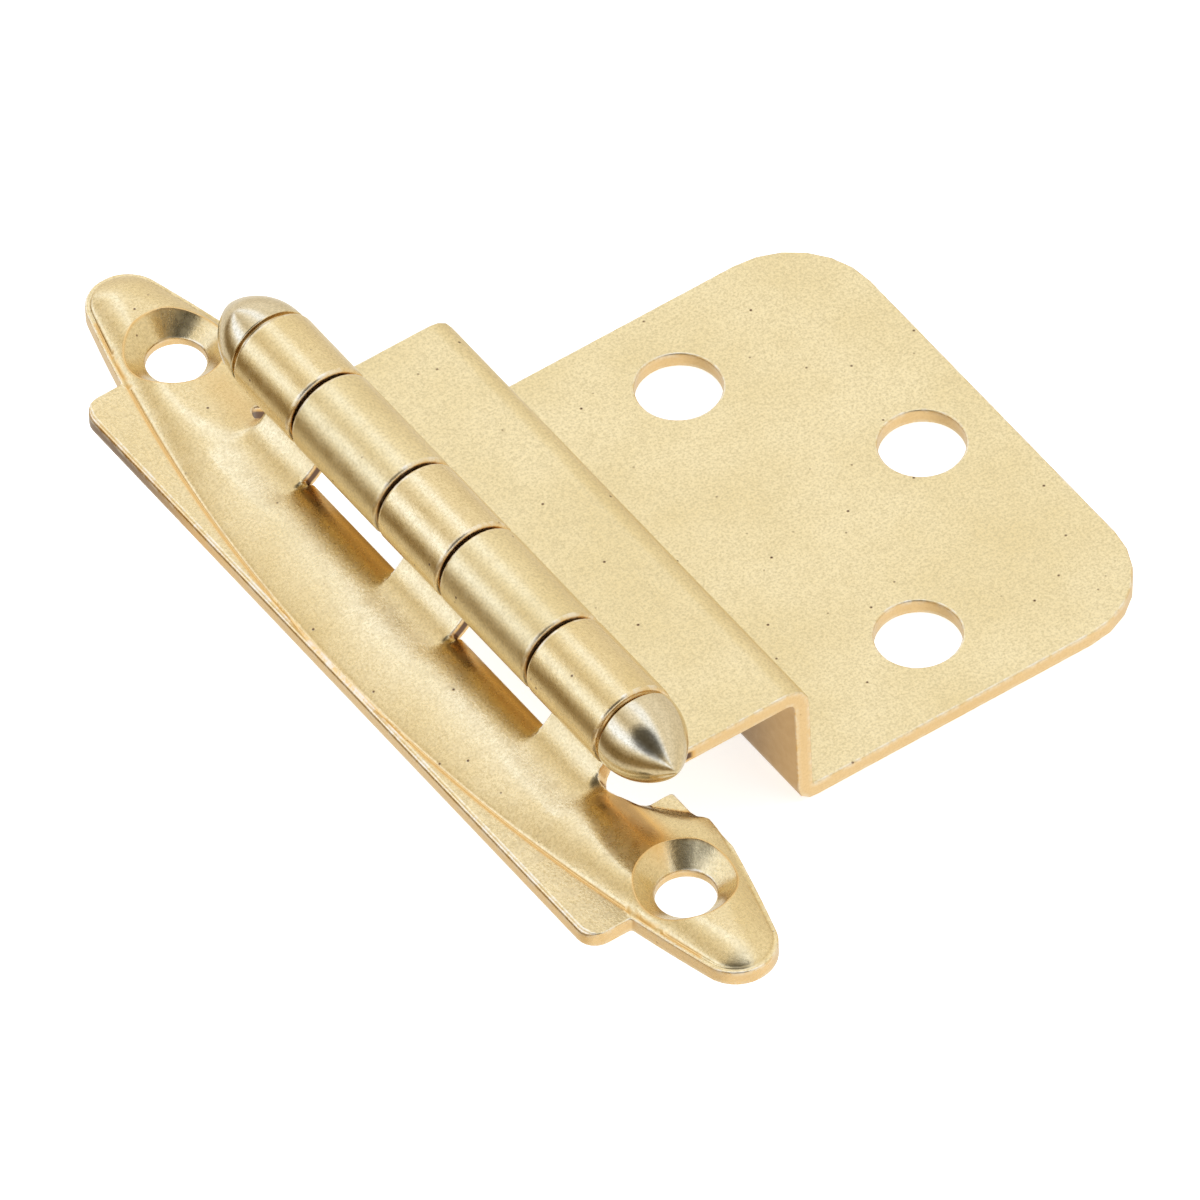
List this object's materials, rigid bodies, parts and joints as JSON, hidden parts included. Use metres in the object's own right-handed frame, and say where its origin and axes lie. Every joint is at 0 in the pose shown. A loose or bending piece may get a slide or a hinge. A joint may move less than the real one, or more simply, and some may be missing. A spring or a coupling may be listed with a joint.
{
  "type": "inset cabinet door hinge",
  "caption": "Face-mounted inset cabinet door hinge: a pointed-oval frame leaf and an offset door leaf curled round one pin with bullet-shaped tips.",
  "frame": {"origin": "midpoint between the two frame screw holes, in the plane of the face that rests on the cabinet frame", "axes": "+Z away from the cabinet's face frame, +Y along the hinge pin, +X from the frame leaf towards the door leaf"},
  "size_m": [0.0512, 0.0738, 0.0197],
  "materials": {
    "frame_leaf": "satin lacquered pale brass plate with fine grain",
    "door_leaf": "satin lacquered pale brass plate with fine grain",
    "pin": "plain drawn steel",
    "finial": "polished pale champagne brass plate"
  },
  "bodies": {
    "frame_side": {"frame_leaf": "frame_leaf", "hinge_pin": "pin", "upper_finial": "finial", "lower_finial": "finial"},
    "door_side": {"door_leaf": "door_leaf"}
  },
  "joints": [
    {"name": "door_swing", "type": "hinge", "parent": "frame_side", "child": "door_side", "pos_m": [0.00165, 0, 0.00842], "axis": [0, -1, 0], "range_deg": [0, 180]}
  ]
}
